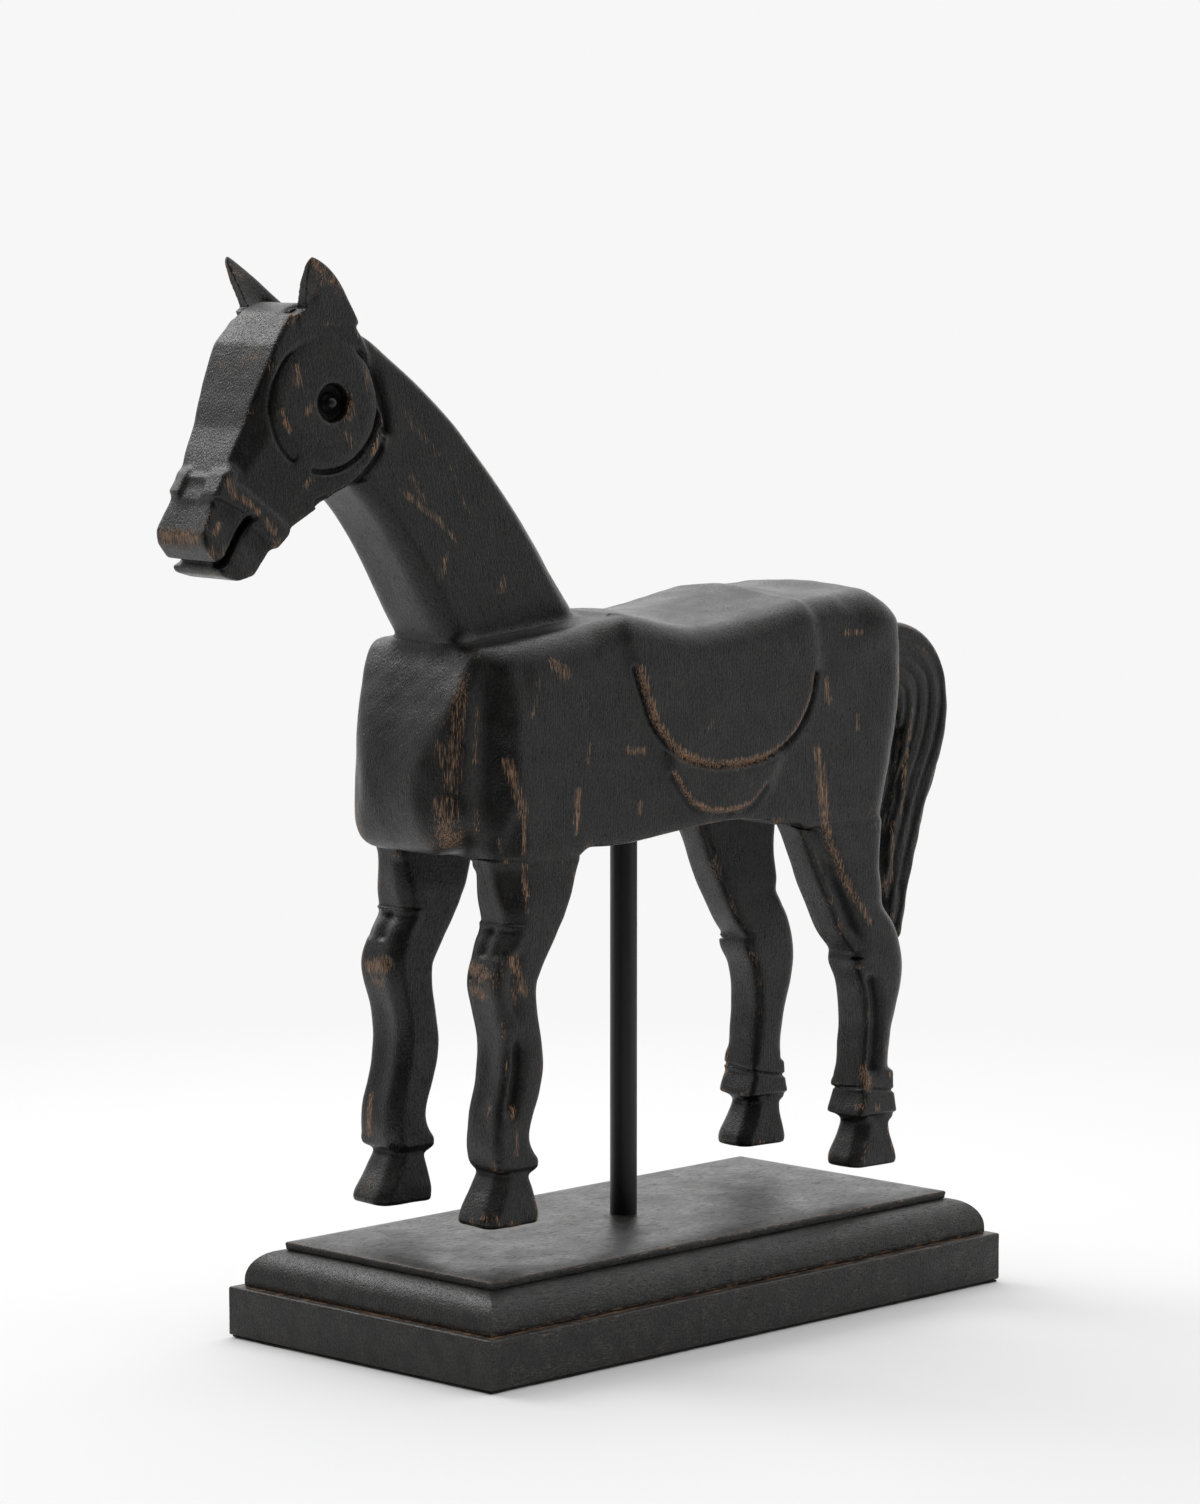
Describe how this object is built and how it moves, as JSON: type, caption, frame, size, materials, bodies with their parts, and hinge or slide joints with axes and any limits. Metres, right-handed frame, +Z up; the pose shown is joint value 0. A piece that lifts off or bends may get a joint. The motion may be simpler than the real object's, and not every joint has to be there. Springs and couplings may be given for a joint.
{
  "type": "carved wooden horse figurine on stand",
  "caption": "Carved and painted wooden horse that swivels on a steel rod above a moulded rectangular wooden base, with carved saddle cloth, noseband, round eyes and a curved tail.",
  "frame": {"origin": "on the rod's axis, at the underside of the felt that the base rests on", "axes": "+X towards the horse's nose, +Y towards the horse's left side, +Z up; the base is turned 4.7 degrees about Z from the horse's heading"},
  "size_m": [0.3612, 0.1568, 0.39],
  "materials": {
    "painted_wood": "black satin paint rubbed through to tan wood along edges",
    "bare_wood": "unfinished hardwood",
    "black_steel": "black satin",
    "zinc_steel": "zinc plated",
    "felt": "black felt"
  },
  "bodies": {
    "stand": {"felt_pad": "felt", "base_plinth": "painted_wood", "base_moulding": "painted_wood", "base_screws": "zinc_steel", "support_rod": "black_steel", "rod_washer": "zinc_steel", "rod_nut": "zinc_steel"},
    "horse": {"torso": "painted_wood", "head_and_neck": "painted_wood", "ear_left": "painted_wood", "ear_right": "painted_wood", "front_leg_left": "painted_wood", "front_leg_right": "painted_wood", "hind_leg_left": "painted_wood", "hind_leg_right": "painted_wood", "tail": "painted_wood", "neck_dowels": "bare_wood", "leg_dowels": "bare_wood", "tail_dowel": "bare_wood", "ear_pegs": "bare_wood"}
  },
  "joints": [
    {"name": "horse_swivel", "type": "hinge", "parent": "stand", "child": "horse", "pos_m": [0, 0, 0.2], "axis": [0, 0, 1], "continuous": true}
  ]
}
